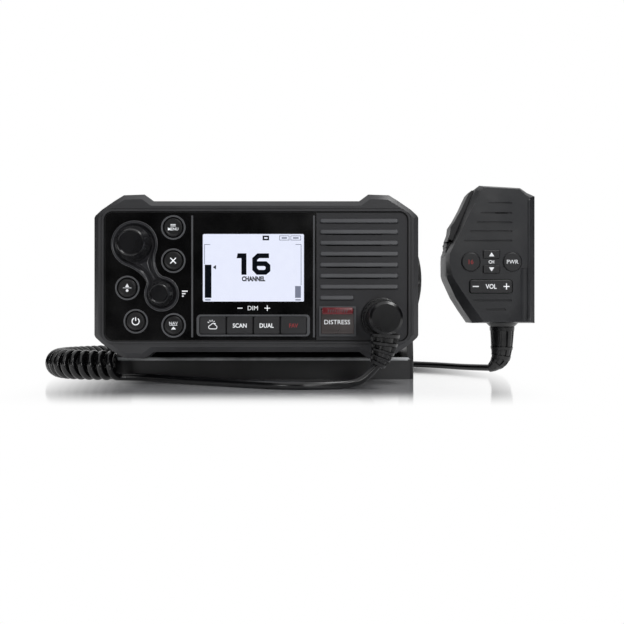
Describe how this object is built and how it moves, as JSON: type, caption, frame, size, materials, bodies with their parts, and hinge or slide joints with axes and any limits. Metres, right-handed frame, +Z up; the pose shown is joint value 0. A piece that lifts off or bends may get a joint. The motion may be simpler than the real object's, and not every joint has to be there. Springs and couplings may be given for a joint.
{
  "type": "marine radio",
  "caption": "Fixed-mount marine radio on a tilting U bracket, with two dials, keypad, display, speaker grille and a fist microphone on a curly cord.",
  "frame": {"origin": "centre of the bracket's four-screw pattern, on its underside", "axes": "+Z up, +X to the right seen from the front, the front panel faces -Y"},
  "size_m": [0.3151, 0.2068, 0.124],
  "materials": {
    "bracket": "semi-gloss black powder coat",
    "clamp_knob": "moulded black plastic",
    "washer": "black rubber washer",
    "bezel": "charcoal moulded plastic, fine grain",
    "panel": "gloss black",
    "grille": "charcoal moulded plastic",
    "case": "black painted die casting",
    "gasket": "grey silicone",
    "brass": "machined",
    "steel": "stainless",
    "window": "clear display window",
    "display": "lit white display",
    "mat": "grey silicone mat",
    "board": "green circuit board",
    "shield": "tinned sheet",
    "ribbon": "flat ribbon",
    "speaker": "zinc plated and painted",
    "cone": "treated paper",
    "encoder": "plated",
    "shaft": "turned",
    "knob": "black moulded, satin",
    "key": "black silicone with a satin skin",
    "red_key": "red silicone",
    "cover": "red moulded cover",
    "socket": "black",
    "plug": "black, glossy",
    "ring": "black, knurled",
    "connector": "nickel plated",
    "gland": "black",
    "cord": "black, glossy",
    "mic_shell": "charcoal moulded plastic, fine grain",
    "stud": "stainless"
  },
  "bodies": {
    "bracket": {"bracket": "bracket", "cord_plug_lead": "cord", "cord_curl": "cord", "cord_mic_lead": "cord", "mic_front_shell": "mic_shell", "mic_rear_shell": "mic_shell", "mic_boot": "plug", "mic_board": "board", "mic_capsule": "steel", "mic_screws": "steel", "mic_hang_stud": "stud"},
    "radio": {"front_bezel": "bezel", "front_panel": "panel", "speaker_grille": "grille", "rear_case": "case", "case_gasket": "gasket", "lcd_window": "window", "lcd_module": "display", "keypad_mat": "mat", "front_board": "board", "main_board": "board", "rf_shield": "shield", "board_ribbon": "ribbon", "speaker_frame": "speaker", "speaker_cone": "cone", "encoders": "encoder", "mic_socket": "socket", "plug_body": "plug", "antenna_socket": "connector", "gps_socket": "brass", "network_socket": "connector", "power_gland": "gland", "case_screws": "steel", "pivot_inserts": "brass"},
    "right_clamp_washer": {"right_clamp_washer": "washer"},
    "right_clamp_knob": {"right_clamp_knob": "clamp_knob"},
    "left_clamp_washer": {"left_clamp_washer": "washer"},
    "left_clamp_knob": {"left_clamp_knob": "clamp_knob"},
    "channel_shaft": {"channel_shaft": "shaft"},
    "channel_knob": {"channel_knob": "knob"},
    "volume_shaft": {"volume_shaft": "shaft"},
    "volume_knob": {"volume_knob": "knob"},
    "key_menu": {"key_menu": "key"},
    "key_cancel": {"key_cancel": "key"},
    "key_ais": {"key_ais": "key"},
    "key_power": {"key_power": "key"},
    "key_nav": {"key_nav": "key"},
    "key_weather": {"key_weather": "key"},
    "key_scan": {"key_scan": "key"},
    "key_triple": {"key_triple": "key"},
    "key_sound": {"key_sound": "key"},
    "distress_cover": {"distress_cover": "cover"},
    "distress_key": {"distress_key": "red_key"},
    "plug_ring": {"plug_ring": "ring"},
    "mic_key_16": {"mic_key_16": "key"},
    "mic_key_level": {"mic_key_level": "key"},
    "mic_key_up": {"mic_key_up": "key"},
    "mic_key_down": {"mic_key_down": "key"},
    "mic_volume_rocker": {"mic_volume_rocker": "key"},
    "mic_ptt": {"mic_ptt": "mic_shell"}
  },
  "joints": [
    {"name": "radio_tilt", "type": "hinge", "parent": "bracket", "child": "radio", "pos_m": [0, 0, 0.061], "axis": [-1, 0, 0], "range_deg": [-3, 15], "deforming": ["cord_plug_lead"]},
    {"name": "right_clamp_travel", "type": "slide", "parent": "bracket", "child": "right_clamp_washer", "axis": [1, 0, 0], "range_m": [0, 0.0031]},
    {"name": "right_clamp_turn", "type": "hinge", "parent": "right_clamp_washer", "child": "right_clamp_knob", "pos_m": [0.0977, 0, 0.061], "axis": [1, 0, 0], "range_deg": [0, 1080]},
    {"name": "left_clamp_travel", "type": "slide", "parent": "bracket", "child": "left_clamp_washer", "axis": [-1, 0, 0], "range_m": [0, 0.0031]},
    {"name": "left_clamp_turn", "type": "hinge", "parent": "left_clamp_washer", "child": "left_clamp_knob", "pos_m": [-0.0977, 0, 0.061], "axis": [-1, 0, 0], "range_deg": [0, 1080]},
    {"name": "channel_turn", "type": "hinge", "parent": "radio", "child": "channel_shaft", "pos_m": [-0.0689, -0.066, 0.0794], "axis": [0, -1, 0], "continuous": true},
    {"name": "channel_push", "type": "slide", "parent": "channel_shaft", "child": "channel_knob", "axis": [0, 1, 0], "range_m": [0, 0.0006], "stiffness_N_per_m": 1500},
    {"name": "volume_turn", "type": "hinge", "parent": "radio", "child": "volume_shaft", "pos_m": [-0.0535, -0.066, 0.0511], "axis": [0, -1, 0], "continuous": true},
    {"name": "volume_push", "type": "slide", "parent": "volume_shaft", "child": "volume_knob", "axis": [0, 1, 0], "range_m": [0, 0.0006], "stiffness_N_per_m": 1500},
    {"name": "key_menu_press", "type": "slide", "parent": "radio", "child": "key_menu", "axis": [0, 1, 0], "range_m": [0, 0.0008], "stiffness_N_per_m": 1500},
    {"name": "key_cancel_press", "type": "slide", "parent": "radio", "child": "key_cancel", "axis": [0, 1, 0], "range_m": [0, 0.0008], "stiffness_N_per_m": 1500},
    {"name": "key_ais_press", "type": "slide", "parent": "radio", "child": "key_ais", "axis": [0, 1, 0], "range_m": [0, 0.0008], "stiffness_N_per_m": 1500},
    {"name": "key_power_press", "type": "slide", "parent": "radio", "child": "key_power", "axis": [0, 1, 0], "range_m": [0, 0.0008], "stiffness_N_per_m": 1500},
    {"name": "key_nav_press", "type": "slide", "parent": "radio", "child": "key_nav", "axis": [0, 1, 0], "range_m": [0, 0.0008], "stiffness_N_per_m": 1500},
    {"name": "key_weather_press", "type": "slide", "parent": "radio", "child": "key_weather", "axis": [0, 1, 0], "range_m": [0, 0.0008], "stiffness_N_per_m": 1500},
    {"name": "key_scan_press", "type": "slide", "parent": "radio", "child": "key_scan", "axis": [0, 1, 0], "range_m": [0, 0.0008], "stiffness_N_per_m": 1500},
    {"name": "key_triple_press", "type": "slide", "parent": "radio", "child": "key_triple", "axis": [0, 1, 0], "range_m": [0, 0.0008], "stiffness_N_per_m": 1500},
    {"name": "key_sound_press", "type": "slide", "parent": "radio", "child": "key_sound", "axis": [0, 1, 0], "range_m": [0, 0.0008], "stiffness_N_per_m": 1500},
    {"name": "distress_key_press", "type": "slide", "parent": "radio", "child": "distress_key", "axis": [0, 1, 0], "range_m": [0, 0.0008], "stiffness_N_per_m": 1500},
    {"name": "distress_cover_lift", "type": "hinge", "parent": "radio", "child": "distress_cover", "pos_m": [0.046, -0.0681, 0.04155], "axis": [-1, 0, 0], "range_deg": [0, 90], "stiffness_Nm_per_rad": 0.002},
    {"name": "plug_ring_turn", "type": "hinge", "parent": "radio", "child": "plug_ring", "pos_m": [0.0707, -0.0732, 0.0377], "axis": [0, -1, 0], "range_deg": [0, 60]},
    {"name": "mic_key_16_press", "type": "slide", "parent": "bracket", "child": "mic_key_16", "axis": [0, 1, 0], "range_m": [0, 0.0007], "stiffness_N_per_m": 1500},
    {"name": "mic_key_level_press", "type": "slide", "parent": "bracket", "child": "mic_key_level", "axis": [0, 1, 0], "range_m": [0, 0.0007], "stiffness_N_per_m": 1500},
    {"name": "mic_key_up_press", "type": "slide", "parent": "bracket", "child": "mic_key_up", "axis": [0, 1, 0], "range_m": [0, 0.0007], "stiffness_N_per_m": 1500},
    {"name": "mic_key_down_press", "type": "slide", "parent": "bracket", "child": "mic_key_down", "axis": [0, 1, 0], "range_m": [0, 0.0007], "stiffness_N_per_m": 1500},
    {"name": "mic_rocker_tilt", "type": "hinge", "parent": "bracket", "child": "mic_volume_rocker", "pos_m": [0.1484, 0.013, 0.05735], "axis": [0, 0, 1], "range_deg": [-3, 3], "stiffness_Nm_per_rad": 0.2},
    {"name": "mic_talk_lever", "type": "hinge", "parent": "bracket", "child": "mic_ptt", "pos_m": [0.13984, 0.028, 0.11541], "axis": [0, -1, 0], "range_deg": [0, 4.5], "stiffness_Nm_per_rad": 1}
  ],
  "couplings": [
    {"joint": "right_clamp_travel", "follows": "right_clamp_turn", "m_per_rad": 0.00015915},
    {"joint": "left_clamp_travel", "follows": "left_clamp_turn", "m_per_rad": 0.00015915}
  ]
}
